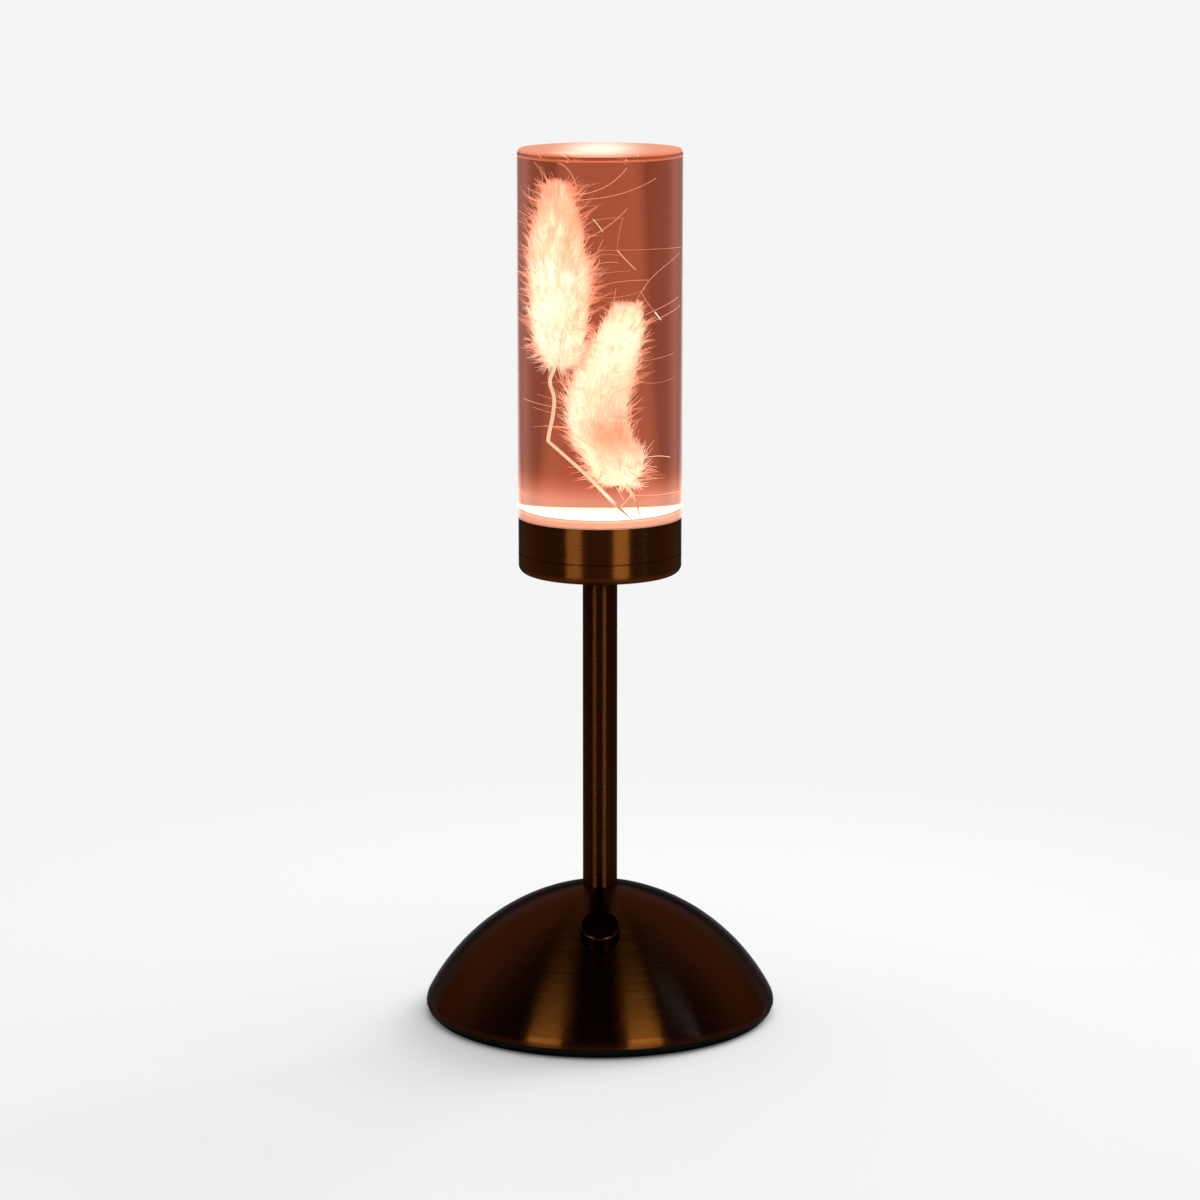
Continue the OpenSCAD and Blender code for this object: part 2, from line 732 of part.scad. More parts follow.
module port_bezel() {
    color("#1d1c1c") difference() {
        intersection() {
            slot_prism(pocket_w + 2 * bezel_wall, pocket_h + 2 * bezel_wall, y_mouth - bezel_wall, dome_d);
            rotate_extrude() dome_fill(-bezel_proud);
        }
        slot_prism(pocket_w, pocket_h, y_mouth, dome_d + cut);
        slot_prism(socket_w + 2 * seat_gap, socket_h + 2 * seat_gap, y_mouth - bezel_wall - cut, dome_d);
    }
}

// Wires: a pair runs from the lamp board down the pipe, out of its slot and to the dimmer's board,
// and two short pairs join the battery, the charge board and the dimmer's board

// Wires leave and meet a board or a cell square to its face, over two lengths of this size
straight = 1.5 * wire_d;
// Where the wires meet the dimmer's board from behind
solder_x = dimmer_board_w / 2 - solder_side - wire_d;
solder_y = dimmer_board_l / 2 - solder_end;
function board_end(x, y) = [for (back = [2, 1, 0])
    at_knob_point([x, y, dimmer_board_low - run_gap - back * straight])];

module led_lead(side) {
    y = side * wire_pitch / 2;
    bend_z = slot_z[1] + 3 * wire_d;
    out_z = (slot_z[0] + slot_z[1]) / 2;
    wire(concat(
        [
            [0, y, z_board_top], [0, y, z_board - bush_len],
            [0, y, (z_board + bend_z) / 2], [0, y, bend_z + wire_d], [wire_d / 2, y, slot_z[1]],
            [pipe_r, y, out_z + wire_d], [pipe_r + wire_bow + y, y - wire_d, out_z - wire_d],
            [lead_swing + y, -lead_forward, out_z - 2 * wire_d]
        ],
        board_end(solder_x + y, solder_y)));
}

module led_lead_red() {
    color("#b3261e") led_lead(1);
}

module led_lead_black() {
    color("#161616") led_lead(-1);
}

module supply_leads() {
    color("#c46a1b") for (side = [-1, 1]) {
        x = charge_board_w / 2 - solder_side + side * wire_pitch;
        y = y_board_start + wire_d;
        wire(concat(
            [
                for (rise = [0, 1, 2]) [x, y, z_charge_top + run_gap + rise * straight],
                [x + supply_swing / 2, y - 4 * wire_d, z_charge_top + wire_bow],
                [x + supply_swing, 0, z_charge_top + wire_d],
                [x + supply_swing - wire_d, -supply_forward, z_charge_top - wire_d / 2]
            ],
            board_end(solder_x + side * wire_pitch, -solder_y)));
    }
}

module battery_leads() {
    color("#8a1f1a") for (i = [0, 1]) {
        tab_x = battery_x + battery_w / 2 - tab_inset - tab_pitch * i;
        start = [tab_x, y_battery_end + run_gap, z_battery + battery_t / 2];
        land_y = y_board_start + tab_pitch * (1 + i);
        land = [-charge_board_w / 2 + solder_side, land_y, z_charge_top + run_gap];
        wire(concat(
            [for (run = [0, 1, 2]) start + [0, run * straight, 0]],
            [[(start[0] + land[0]) / 2 - wire_d, land[1] - wire_d / 2, land[2] + 2.5 * straight]],
            [for (rise = [2, 1, 0]) land + [0, 0, rise * straight]]));
    }
}

foot_pad();
ballast_plate();
base_dome();
stem_tube();
lamp_pipe();
lower_washer();
lower_nut();
upper_washer();
upper_nut();
wire_bush();
collar_cap();
collar_ring();
led_board();
led_chips();
diffuser();
resin_block();
upper_tail();
lower_tail();
knob();
dimmer_shaft();
dimmer_rotor();
dimmer_bushing();
dimmer_nut();
dimmer_spacer();
dimmer_case();
snap_dome();
dimmer_board();
battery_cell();
battery_tape();
charge_board();
board_screws();
charge_socket();
port_bezel();
led_lead_red();
led_lead_black();
supply_leads();
battery_leads();
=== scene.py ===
import json
import math

import bpy
import numpy as np
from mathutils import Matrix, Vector

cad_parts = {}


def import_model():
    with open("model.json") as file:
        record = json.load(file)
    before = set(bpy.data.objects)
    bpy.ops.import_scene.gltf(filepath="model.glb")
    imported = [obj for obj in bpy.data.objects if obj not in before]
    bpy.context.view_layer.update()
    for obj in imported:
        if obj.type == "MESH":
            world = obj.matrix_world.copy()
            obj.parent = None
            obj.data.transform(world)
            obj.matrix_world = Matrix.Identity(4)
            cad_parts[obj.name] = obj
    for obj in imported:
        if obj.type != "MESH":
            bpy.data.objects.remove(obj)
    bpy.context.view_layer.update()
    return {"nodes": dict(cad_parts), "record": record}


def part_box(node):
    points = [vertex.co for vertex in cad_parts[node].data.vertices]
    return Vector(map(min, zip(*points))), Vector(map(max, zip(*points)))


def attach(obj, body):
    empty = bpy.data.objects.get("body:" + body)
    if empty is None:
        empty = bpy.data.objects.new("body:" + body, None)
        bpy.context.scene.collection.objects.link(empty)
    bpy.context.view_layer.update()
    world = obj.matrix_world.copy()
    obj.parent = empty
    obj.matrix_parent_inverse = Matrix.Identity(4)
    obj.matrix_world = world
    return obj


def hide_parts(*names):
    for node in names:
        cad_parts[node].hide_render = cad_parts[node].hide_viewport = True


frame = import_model()
nodes = frame["nodes"]
MM = 0.001
rng = np.random.default_rng(7)

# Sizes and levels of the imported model
resin_low, resin_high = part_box("resin_block")
resin_r = resin_high[1]
resin_z0 = resin_low[2]
resin_z1 = resin_high[2]
diffuser_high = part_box("diffuser")[1]
diffuser_r = diffuser_high[1]
diffuser_top = diffuser_high[2]
knob_joint = frame["record"]["behaviour"]["joints"][0]
knob_axis_point = Vector(knob_joint["pos_m"])
knob_tilt = math.atan2(-knob_joint["axis"][1], knob_joint["axis"][2])

# Camera, fitted to the photo at the model's size
CAMERA_PLACE = (0.0, -1.2, 0.364)
CAMERA_PITCH = math.radians(11.06)
CAMERA_LENS = 120
CAMERA_SENSOR = 36

PICTURE = 1200
FOCAL = PICTURE * CAMERA_LENS / CAMERA_SENSOR
RESIN_IOR = 1.5

# Colours, in linear light
PALE = (0.913, 0.913, 0.913)
BRONZE = (0.047, 0.0115, 0.0026)
CREAM = (0.92, 0.84, 0.68)


# Node helpers

def add(tree, kind, **settings):
    node = tree.nodes.new(kind)
    for key, value in settings.items():
        setattr(node, key, value)
    return node


def feed(tree, socket, value):
    """Set a socket to a number or colour, or link another node's output to it."""
    if isinstance(value, bpy.types.NodeSocket):
        tree.links.new(value, socket)
    else:
        socket.default_value = value


def math_node(tree, operation, a, b=None):
    node = add(tree, "ShaderNodeMath", operation=operation)
    feed(tree, node.inputs[0], a)
    if b is not None:
        feed(tree, node.inputs[1], b)
    return node.outputs[0]


def ramp(tree, value, low, high, out_low, out_high, smooth=True):
    node = add(tree, "ShaderNodeMapRange", interpolation_type="SMOOTHSTEP" if smooth else "LINEAR")
    feed(tree, node.inputs["Value"], value)
    node.inputs["From Min"].default_value = low
    node.inputs["From Max"].default_value = high
    node.inputs["To Min"].default_value = out_low
    node.inputs["To Max"].default_value = out_high
    return node.outputs["Result"]


def mix_colour(tree, share, a, b):
    node = add(tree, "ShaderNodeMix", data_type="RGBA")
    feed(tree, node.inputs["Factor"], share)
    for name, value in (("A", a), ("B", b)):
        socket = [s for s in node.inputs if s.name == name and s.type == "RGBA"][0]
        feed(tree, socket, value if isinstance(value, bpy.types.NodeSocket) else (*value, 1))
    return [s for s in node.outputs if s.type == "RGBA"][0]


def noise(tree, vector, scale, detail=3.0, rough=0.5):
    node = add(tree, "ShaderNodeTexNoise")
    feed(tree, node.inputs["Vector"], vector)
    node.inputs["Scale"].default_value = scale
    node.inputs["Detail"].default_value = detail
    node.inputs["Roughness"].default_value = rough
    return node.outputs["Fac"]


def bump(tree, shader, height, strength, distance):
    node = add(tree, "ShaderNodeBump")
    feed(tree, node.inputs["Height"], height)
    node.inputs["Strength"].default_value = strength
    node.inputs["Distance"].default_value = distance
    tree.links.new(node.outputs["Normal"], shader.inputs["Normal"])


def new_material(name, **sockets):
    material = bpy.data.materials.new(name)
    material.use_nodes = True
    tree = material.node_tree
    shader = tree.nodes["Principled BSDF"]
    for key, value in sockets.items():
        shader.inputs[key.replace("_", " ")].default_value = value
    return material, tree, shader


def object_place(tree):
    return add(tree, "ShaderNodeTexCoord").outputs["Object"]


# Materials

# Turned bronze: scales of its noise per metre, the depth of its rings, and how far tone and gloss vary
FINE_RINGS = 5200.0
BROAD_RINGS = 900.0
FINE_SHARE = 0.6
CLOUDS = 45.0
RING_DRIFT = 0.0006
RING_DEPTH = 0.00004
TONE_SPREAD = 0.12
GLOSS_SPREAD = 0.05
# Between these facing values the edge tint falls, which holds down the rise of the gloss at the edge
EDGE_FACING = (0.62, 0.97)
EDGE_TINT = (0.5, 0.0)


def bronze(name, tone, rough, anisotropic, turn=None):
    """Turned and lacquered dark bronze: fine rings run round the piece's own axis."""
    material, tree, shader = new_material(name, Metallic=1.0)
    facing = add(tree, "ShaderNodeLayerWeight").outputs["Facing"]
    feed(tree, shader.inputs["Specular Tint"], ramp(tree, facing, *EDGE_FACING, *EDGE_TINT))
    place = object_place(tree)
    if turn is not None:
        mapping = add(tree, "ShaderNodeMapping", vector_type="TEXTURE")
        feed(tree, mapping.inputs["Vector"], place)
        mapping.inputs["Location"].default_value = turn[0]
        mapping.inputs["Rotation"].default_value = turn[1]
        place = mapping.outputs["Vector"]
    axes = add(tree, "ShaderNodeSeparateXYZ")
    feed(tree, axes.inputs[0], place)
    x, y, z = axes.outputs
    squares = math_node(tree, "ADD", math_node(tree, "MULTIPLY", x, x), math_node(tree, "MULTIPLY", y, y))
    reach = math_node(tree, "SQRT", squares)
    turn_share = math_node(tree, "MULTIPLY", math_node(tree, "ARCTAN2", y, x), RING_DRIFT)
    rings = add(tree, "ShaderNodeCombineXYZ")
    for socket, value in zip(rings.inputs, (reach, z, turn_share)):
        feed(tree, socket, value)
    fine = noise(tree, rings.outputs[0], FINE_RINGS, 2.0, 0.6)
    broad = noise(tree, rings.outputs[0], BROAD_RINGS, 3.0, 0.6)
    cloud = noise(tree, place, CLOUDS, 2.0)
    fine_part = math_node(tree, "MULTIPLY", fine, FINE_SHARE)
    lines = math_node(tree, "ADD", fine_part, math_node(tree, "MULTIPLY", broad, 1 - FINE_SHARE))
    dark = tuple(c * tone * (1 - TONE_SPREAD) for c in BRONZE)
    light = tuple(c * tone * (1 + TONE_SPREAD) for c in BRONZE)
    feed(tree, shader.inputs["Base Color"], mix_colour(tree, cloud, dark, light))
    gloss = ramp(tree, lines, 0.3, 0.7, rough - GLOSS_SPREAD, rough + GLOSS_SPREAD)
    feed(tree, shader.inputs["Roughness"], gloss)
    bump(tree, shader, lines, 0.05, RING_DEPTH)
    if anisotropic:
        shader.inputs["Anisotropic"].default_value = anisotropic
        shader.inputs["Anisotropic Rotation"].default_value = 0.25
        tangent = add(tree, "ShaderNodeTangent", direction_type="RADIAL", axis="Z")
        tree.links.new(tangent.outputs[0], shader.inputs["Tangent"])
    return material


def grained(name, colour, metallic, rough, scale, depth, specular=0.5):
    """Plain solid colour with a fine grain in tone, gloss and relief."""
    material, tree, shader = new_material(name, Metallic=metallic)
    shader.inputs["Specular IOR Level"].default_value = specular
    place = object_place(tree)
    grain = noise(tree, place, scale, 4.0, 0.6)
    cloud = noise(tree, place, scale * 0.06, 2.0)
    dark = tuple(c * 0.85 for c in colour)
    light = tuple(min(1.0, c * 1.12) for c in colour)
    feed(tree, shader.inputs["Base Color"], mix_colour(tree, cloud, dark, light))
    feed(tree, shader.inputs["Roughness"], ramp(tree, grain, 0.3, 0.7, rough - 0.06, rough + 0.08))
    bump(tree, shader, grain, 0.25, depth)
    return material


RESIN_DENSITY = 70.0
RESIN_TINT = (0.62, 0.20, 0.02)
# Colours of the painted glow: up the body, low in it and at the top face, with the painted highlight at its
# centre
RESIN_GLOW = (1.0, 0.23, 0.09)
LOW_GLOW = (1.0, 0.55, 0.40)
TOP_GLOW = (1.0, 0.25, 0.08)
TOP_GLEAM = (1.0, 0.90, 0.70)
RESIN_GLOSS = (0.6, 0.25, 0.15)
# Strength of the painted glow for the lamp's light scattered in the resin: up the body and low in it, then
# at the rim and at the painted highlight in the centre of the top
BODY_LEVELS = (0.12, 0.52)
TOP_LEVELS = (0.59, 0.86)
LINE_LEVEL = 0.45
FOOT_SHARE = 0.55
BEVEL_RISE = 1.5 * MM
BEVEL_INSET = 0.6 * MM
# A fine groove runs round the column this far under the bevel, with a painted highlight band between it and
# the bevel
LINE_DROP = 0.65 * MM
LINE_FADE = 0.2 * MM
# The painted highlight on the top is longer from front to back than across
GLEAM_R = 18 * MM
GLEAM_SQUEEZE = 0.4


def resin():
    """Clear pink resin with a painted glow for the lamp's light scattered in it: faint all over, more where
    the light enters and leaves it.
    """
    material, tree, shader = new_material("resin", Roughness=0.02, IOR=RESIN_IOR, Transmission_Weight=1.0)
    shader.inputs["Base Color"].default_value = (1, 1, 1, 1)
    shader.inputs["Specular Tint"].default_value = (*RESIN_GLOSS, 1)
    place = object_place(tree)
    axes = add(tree, "ShaderNodeSeparateXYZ")
    feed(tree, axes.inputs[0], place)
    x, y, z = axes.outputs
    across = math_node(tree, "MULTIPLY", x, x)
    along = math_node(tree, "MULTIPLY", math_node(tree, "MULTIPLY", y, y), GLEAM_SQUEEZE ** 2)
    reach = math_node(tree, "SQRT", math_node(tree, "ADD", across, along))
    low = ramp(tree, z, resin_z0 + 5 * MM, resin_z0 + 17 * MM, 1.0, 0.0)
    centre = ramp(tree, reach, 1 * MM, GLEAM_R, 1.0, 0.0)
    # From the top down: the painted glow of the face, painted shade on the bevel and a painted highlight
    # line under it
    depth = math_node(tree, "SUBTRACT", resin_z1, z)
    face = ramp(tree, depth, 0.55 * MM, 0.75 * MM, 1.0, 0.0)
    # Painted shade: the bevel keeps little of the glow
    clear = ramp(tree, depth, BEVEL_RISE, BEVEL_RISE + 0.1 * MM, 0.15, 1.0)
    line_at = BEVEL_RISE + LINE_DROP
    line = ramp(tree, depth, line_at - LINE_FADE, line_at, LINE_LEVEL, 0.0)
    # Painted glow up the body, brighter low in it
    body = math_node(tree, "ADD", ramp(tree, low, 0.0, 1.0, *BODY_LEVELS, smooth=False), line)
    body = math_node(tree, "MULTIPLY", body, clear)
    # The foot, which wraps the diffuser, has less painted glow than the resin just over it
    foot = ramp(tree, z, resin_z0 + 1.5 * MM, resin_z0 + 3 * MM, FOOT_SHARE, 1.0)
    body = math_node(tree, "MULTIPLY", body, foot)
    # Painted glow on the top face, with a painted highlight at its centre
    top = math_node(tree, "MULTIPLY", face, ramp(tree, centre, 0.0, 1.0, *TOP_LEVELS))
    colour = mix_colour(tree, low, RESIN_GLOW, LOW_GLOW)
    colour = mix_colour(tree, face, colour, mix_colour(tree, centre, TOP_GLOW, TOP_GLEAM))
    feed(tree, shader.inputs["Emission Color"], colour)
    feed(tree, shader.inputs["Emission Strength"], math_node(tree, "ADD", body, top))
    absorb = add(tree, "ShaderNodeVolumeAbsorption")
    absorb.inputs["Color"].default_value = (*RESIN_TINT, 1)
    absorb.inputs["Density"].default_value = RESIN_DENSITY
    output = [n for n in tree.nodes if n.type == "OUTPUT_MATERIAL"][0]
    tree.links.new(absorb.outputs[0], output.inputs["Volume"])
    return material


OPAL_WHITE = (1.0, 0.95, 0.84)
OPAL_ROSE = (1.0, 0.42, 0.27)
OPAL_LEVELS = (0.4, 8.0)


def opal():
    """Lit diffuser, white over the light chips and rosy at its rim and sides."""
    material, tree, shader = new_material("opal", Roughness=0.5)
    place = object_place(tree)
    up = add(tree, "ShaderNodeSeparateXYZ")
    feed(tree, up.inputs[0], add(tree, "ShaderNodeNewGeometry").outputs["Normal"])
    flat = add(tree, "ShaderNodeVectorMath", operation="MULTIPLY")
    feed(tree, flat.inputs[0], place)
    flat.inputs[1].default_value = (1, 1, 0)
    reach = add(tree, "ShaderNodeVectorMath", operation="LENGTH")
    feed(tree, reach.inputs[0], flat.outputs[0])
    white = ramp(tree, reach.outputs["Value"], diffuser_r - 5 * MM, diffuser_r - 4 * MM, 1.0, 0.0)
    face = math_node(tree, "MULTIPLY", white, ramp(tree, up.outputs[2], 0.3, 0.7, 0.0, 1.0))
    cloud = noise(tree, place, 120.0)
    cream = mix_colour(tree, cloud, (0.9, 0.84, 0.74), (0.96, 0.91, 0.82))
    feed(tree, shader.inputs["Base Color"], mix_colour(tree, face, (0.85, 0.45, 0.32), cream))
    feed(tree, shader.inputs["Emission Color"], mix_colour(tree, face, OPAL_ROSE, OPAL_WHITE))
    feed(tree, shader.inputs["Emission Strength"], ramp(tree, face, 0.0, 1.0, *OPAL_LEVELS))
    return material


# Strength of the painted glow that stands for the lamp's light carried through the grass
GRASS_GLOW = 3.0


def dried_grass(name, dim, bright):
    """Cream down with a painted glow for the lamp's light it carries; tone runs the glow from dim tips and
    tufts to the bright body.
    """
    material, tree, shader = new_material(name, Roughness=0.75)
    tone = add(tree, "ShaderNodeAttribute", attribute_name="tone").outputs["Fac"]
    grain = noise(tree, object_place(tree), 700.0)
    pale = tuple(c * 1.06 for c in CREAM)
    dull = tuple(c * 0.86 for c in CREAM)
    feed(tree, shader.inputs["Base Color"], mix_colour(tree, grain, dull, pale))
    feed(tree, shader.inputs["Emission Color"], mix_colour(tree, tone, dim, bright))
    shader.inputs["Emission Strength"].default_value = GRASS_GLOW
    shader.inputs["Specular IOR Level"].default_value = 0.2
    return material


STRAW = ((0.50, 0.40, 0.28), (0.78, 0.68, 0.52))
# Painted shade for the stalk's foot, then the colours and strength of its painted glow
STALK_FOOT_SHADE = (0.05, 0.04, 0.03)
STRAW_GLOW = ((0.40, 0.47, 0.38), (0.52, 0.63, 0.52))
STRAW_LEVEL = 2.4


def stalk_straw():
    """Dry stalk: fine lengthwise streaks, a painted glow along it and painted shade at its foot."""
    material, tree, shader = new_material("stalk", Roughness=0.6)
    place = object_place(tree)
    drawn = add(tree, "ShaderNodeMapping")
    feed(tree, drawn.inputs["Vector"], place)
    drawn.inputs["Scale"].default_value = (1.0, 1.0, 0.12)
    streak = noise(tree, drawn.outputs["Vector"], 2600.0)
    axes = add(tree, "ShaderNodeSeparateXYZ")
    feed(tree, axes.inputs[0], place)
    straw = mix_colour(tree, streak, *STRAW)
    # Painted shade darkens the stalk's foot
    foot = ramp(tree, axes.outputs[2], resin_z0 + 5 * MM, resin_z0 + 7.5 * MM, 1.0, 0.0)
    feed(tree, shader.inputs["Base Color"], mix_colour(tree, foot, straw, STALK_FOOT_SHADE))
    feed(tree, shader.inputs["Emission Color"], mix_colour(tree, streak, *STRAW_GLOW))
    # Painted glow along the stalk, none at its foot
    lit = ramp(tree, axes.outputs[2], resin_z0 + 6 * MM, resin_z0 + 9 * MM, 0.0, STRAW_LEVEL)
    feed(tree, shader.inputs["Emission Strength"], lit)
    return material


knob_turn = (tuple(knob_axis_point), (knob_tilt, 0, 0))
# Bronze: share of the colour, roughness and brushing. Grained: colour, metallic, roughness, grains per
# metre, relief in metres and, where it is low, gloss.
SLOTS = {
    "bronze": bronze("bronze", 0.75, 0.25, 1.0),
    "resin": resin(),
    "dried_grass": stalk_straw(),
    "opal": opal(),
    "pad": grained("pad", (0.004, 0.004, 0.004), 0.0, 0.9, 2500.0, 0.00008, 0.03),
    "iron": grained("iron", (0.005, 0.0045, 0.004), 0.0, 0.6, 1400.0, 0.00006, 0.03),
    "zinc": grained("zinc", (0.56, 0.55, 0.52), 1.0, 0.35, 900.0, 0.00003),
    "brass": grained("brass", (0.60, 0.44, 0.20), 1.0, 0.32, 900.0, 0.00003),
    "white_plastic": grained("white_plastic", (0.82, 0.80, 0.75), 0.0, 0.5, 1500.0, 0.00004),
    "black_plastic": grained("black_plastic", (0.020, 0.020, 0.020), 0.0, 0.48, 2600.0, 0.00006),
    "white_board": grained("white_board", (0.85, 0.85, 0.83), 0.0, 0.4, 900.0, 0.00002),
    "led": grained("led", (0.92, 0.72, 0.24), 0.0, 0.35, 900.0, 0.00002),
    "green_board": grained("green_board", (0.02, 0.12, 0.05), 0.0, 0.35, 700.0, 0.00003),
    "cell": grained("cell", (0.30, 0.36, 0.44), 0.6, 0.4, 500.0, 0.00004),
    "red_wire": grained("red_wire", (0.42, 0.02, 0.012), 0.0, 0.45, 1200.0, 0.00003),
    "black_wire": grained("black_wire", (0.015, 0.015, 0.015), 0.0, 0.45, 1200.0, 0.00003),
}
# Dim and bright colours of each head's painted glow
GRASS = {
    "upper": dried_grass("upper_grass", (0.33, 0.16, 0.13), (0.34, 0.45, 0.42)),
    "lower": dried_grass("lower_grass", (0.42, 0.25, 0.22), (0.44, 0.80, 0.86)),
}
for part in frame["record"]["subparts"]:
    data = nodes[part["node"]].data
    data.materials.clear()
    data.materials.append(SLOTS[part["material_slot"]])
nodes["knob"].data.materials[0] = bronze("knob_bronze", 0.75, 0.17, 0.0, knob_turn)
# The stem's bronze is a darker copy and the collar's a lighter copy of the same bronze: painted shade and
# painted light
nodes["stem_tube"].data.materials[0] = bronze("stem_bronze_painted_shade", 0.60, 0.29, 1.0)
collar_bronze_painted_light = bronze("collar_bronze_painted_light", 1.35, 0.29, 1.0)
nodes["collar_cap"].data.materials[0] = collar_bronze_painted_light
nodes["collar_ring"].data.materials[0] = collar_bronze_painted_light


# Mesh helpers

def mesh_object(name, points, faces, material):
    """A smooth-shaded piece that rides on the lamp's fixed body."""
    mesh = bpy.data.meshes.new(name)
    mesh.from_pydata([tuple(p) for p in points], [], faces)
    mesh.validate()
    mesh.update()
    mesh.polygons.foreach_set("use_smooth", [True] * len(mesh.polygons))
    mesh.materials.append(material)
    obj = bpy.data.objects.new(name, mesh)
    bpy.context.scene.collection.objects.link(obj)
    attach(obj, "lamp")
    return obj


def lathe(profile, sides):
    """Points and faces of a closed body turned about Z; the profile runs from axis to axis."""
    points = [(0, 0, profile[0][1])]
    for r, z in profile[1:-1]:
        for k in range(sides):
            a = 2 * math.pi * k / sides
            points.append((r * math.cos(a), r * math.sin(a), z))
    points.append((0, 0, profile[-1][1]))
    rings = len(profile) - 2
    faces = []
    for k in range(sides):
        after = (k + 1) % sides
        faces.append((0, 1 + after, 1 + k))
        for i in range(rings - 1):
            a = 1 + i * sides
            faces.append((a + k, a + after, a + sides + after, a + sides + k))
        last = 1 + (rings - 1) * sides
        faces.append((last + k, last + after, len(points) - 1))
    return points, faces


def rounded(corner, start, steps, radius):
    """Points of a quarter turn about corner, from the angle start."""
    turns = [math.radians(start + 90 * i / steps) for i in range(steps + 1)]
    return [(corner[0] + radius * math.cos(a), corner[1] + radius * math.sin(a)) for a in turns]


RESIN_SIDES = 160


def resin_column():
    """The column, with a recess for the diffuser, a fine line round it and a polished bevel."""
    low_edge = 0.1 * MM
    hold = 0.06 * MM
    groove = 0.12 * MM
    # The diffuser is bonded in: the column's recess sits just inside its skin
    recess_r = diffuser_r - hold
    recess_top = diffuser_top - hold
    profile = [(0, recess_top), (recess_r - hold, recess_top), (recess_r, recess_top)]
    profile += [(recess_r, recess_top - hold), (recess_r, resin_z0 + hold)]
    profile += [(recess_r, resin_z0), (recess_r + hold, resin_z0)]
    profile += [(resin_r - low_edge - hold, resin_z0)]
    profile += rounded((resin_r - low_edge, resin_z0 + low_edge), -90, 4, low_edge)
    profile += [(resin_r, resin_z0 + low_edge + hold)]
    line = resin_z1 - BEVEL_RISE - LINE_DROP
    profile += [(resin_r, line - groove - hold), (resin_r, line - groove), (resin_r - groove, line)]
    profile += [(resin_r, line + groove), (resin_r, line + groove + hold)]
    bevel = resin_z1 - BEVEL_RISE
    profile += [(resin_r, bevel - hold), (resin_r, bevel), (resin_r - 0.05 * MM, bevel + hold)]
    profile += [(resin_r - BEVEL_INSET + 0.05 * MM, resin_z1 - hold), (resin_r - BEVEL_INSET, resin_z1)]
    profile += [(resin_r - BEVEL_INSET - hold, resin_z1), (0, resin_z1)]
    points, faces = lathe(profile, RESIN_SIDES)
    obj = mesh_object("resin_column", points, faces, SLOTS["resin"])
    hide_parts("resin_block")


# Grass, in millimetres from the resin's axis and underside. Its outlines are given as seen in the photo,
# which is 1200 pixels wide, with a depth behind the column's axis.

def seen(u, v, depth):
    """The point that shows at u, v: the camera's ray, bent at the column's face, at the given depth."""
    ahead = math.cos(CAMERA_PITCH)
    down = math.sin(CAMERA_PITCH)
    up = (PICTURE / 2 - v) / FOCAL
    way = Vector(((u - PICTURE / 2) / FOCAL, ahead + up * down, up * ahead - down)).normalized()
    eye = (Vector(CAMERA_PLACE) - Vector((0, 0, resin_z0))) / MM
    radius = resin_r / MM
    flat = way.xy.length_squared
    toward = eye.xy.dot(way.xy)
    reach = (-toward - math.sqrt(toward ** 2 - flat * (eye.xy.length_squared - radius ** 2))) / flat
    place = eye + way * reach
    normal = Vector((place.x, place.y, 0)) / radius
    facing = -normal.dot(way)
    bent = math.sqrt(1 - (1 - facing ** 2) / RESIN_IOR ** 2)
    inner = way / RESIN_IOR + normal * (facing / RESIN_IOR - bent)
    return np.array(place + inner * max((depth - place.y) / inner.y, 0.9))


# Levels of each head from foot to tip: height, left edge and right edge
HEADS = {
    "upper": {"depth": -4.0, "levels": [
        (365, 550, 560), (362, 546, 571), (357, 542, 580), (350, 537, 585), (336, 533, 588),
        (321, 531, 589), (308, 531, 591), (296, 531, 593), (283, 530, 594), (270, 529, 594),
        (258, 529, 588), (245, 531, 583), (232, 534, 580), (219, 537, 578), (207, 539, 575),
        (196, 543, 571), (187, 548, 567), (180, 553, 562)]},
    "lower": {"depth": 4.0, "levels": [
        (485, 619, 628), (482, 609, 635), (476, 598, 640), (467, 588, 645), (460, 583, 647),
        (453, 578, 643), (447, 574, 637), (434, 570, 632), (421, 567, 629), (408, 566, 629),
        (395, 569, 630), (382, 574, 632), (369, 580, 635), (356, 586, 637), (343, 593, 640),
        (330, 600, 642), (319, 607, 641), (309, 614, 639), (302, 620, 635)]},
}
STALK_R = {"upper": 0.44, "lower": 0.26}
STALKS = {
    "upper": [(557, 360, -4), (553, 372, -4), (550, 380, -4), (554, 398, -4), (553, 414, -4), (549, 434, -4),
              (548, 441, -4), (584, 473, -10), (616, 505, -16), (631, 519, -18)],
    "lower": [(624, 478, 4), (628, 486, 1), (636, 502, -8), (641, 520, -17)],
}
SHARP = {"upper": 6, "lower": -1}
